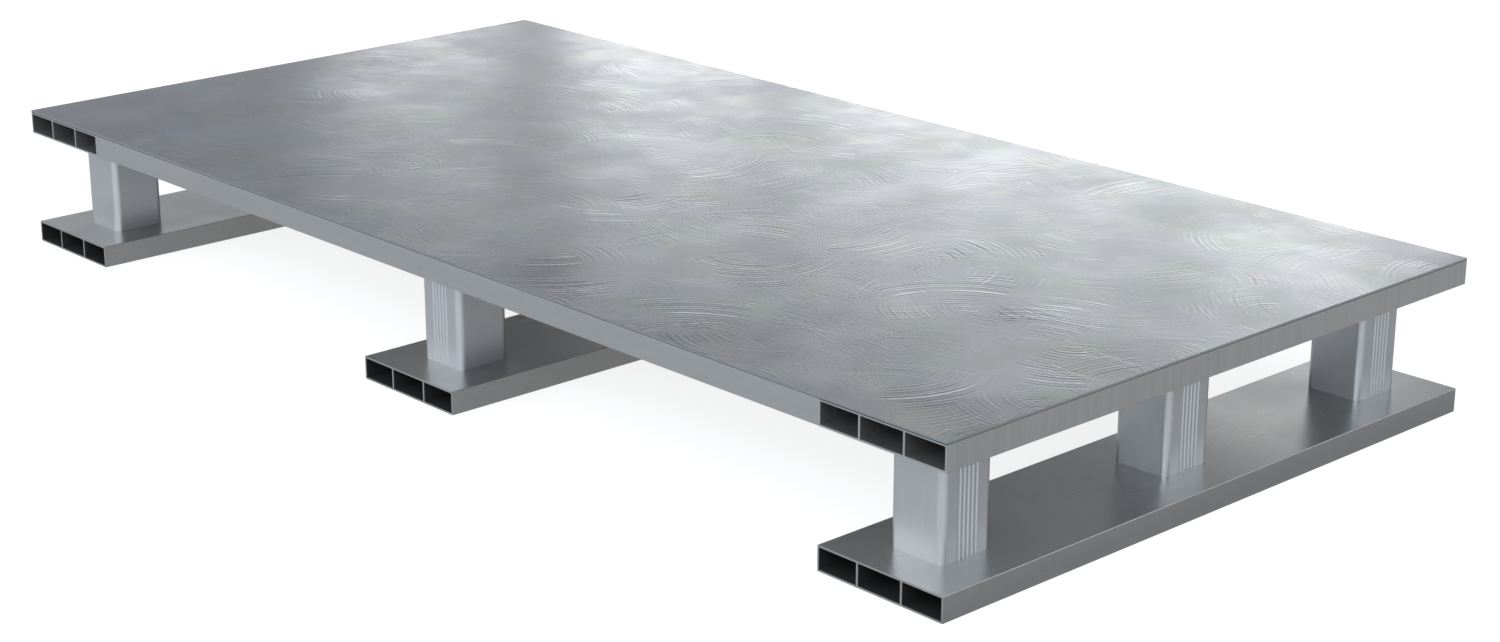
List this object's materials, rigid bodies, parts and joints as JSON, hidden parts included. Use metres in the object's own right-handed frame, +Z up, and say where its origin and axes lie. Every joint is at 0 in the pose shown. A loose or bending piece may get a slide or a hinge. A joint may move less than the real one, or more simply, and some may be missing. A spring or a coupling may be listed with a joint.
{
  "type": "aluminium pallet",
  "caption": "Low welded pallet with a plain sheet deck on flat hollow beams, raised on square fluted posts over hollow runners so forks enter from every side.",
  "frame": {"origin": "centre of the footprint at floor level, on the underside of the middle runner", "axes": "+X along the long side, +Y along the short side and the runners, +Z up through the deck"},
  "size_m": [1.2, 0.6, 0.13],
  "materials": {
    "sheet_metal": "swirl-brushed bare sheet with fine arcs",
    "profile_metal": "satin bare extrusion with faint lengthwise lines",
    "post_metal": "satin bare extrusion, brighter on the round edges and flutes"
  },
  "bodies": {
    "root": {"top_sheet": "sheet_metal", "end_beam_left": "profile_metal", "end_beam_right": "profile_metal", "stringer_front": "profile_metal", "stringer_centre": "profile_metal", "stringer_back": "profile_metal", "cross_member_front": "profile_metal", "cross_member_back": "profile_metal", "runner_left": "profile_metal", "runner_middle": "profile_metal", "runner_right": "profile_metal", "post_left_front": "post_metal", "post_left_centre": "post_metal", "post_left_back": "post_metal", "post_middle_front": "post_metal", "post_middle_centre": "post_metal", "post_middle_back": "post_metal", "post_right_front": "post_metal", "post_right_centre": "post_metal", "post_right_back": "post_metal"}
  },
  "joints": []
}
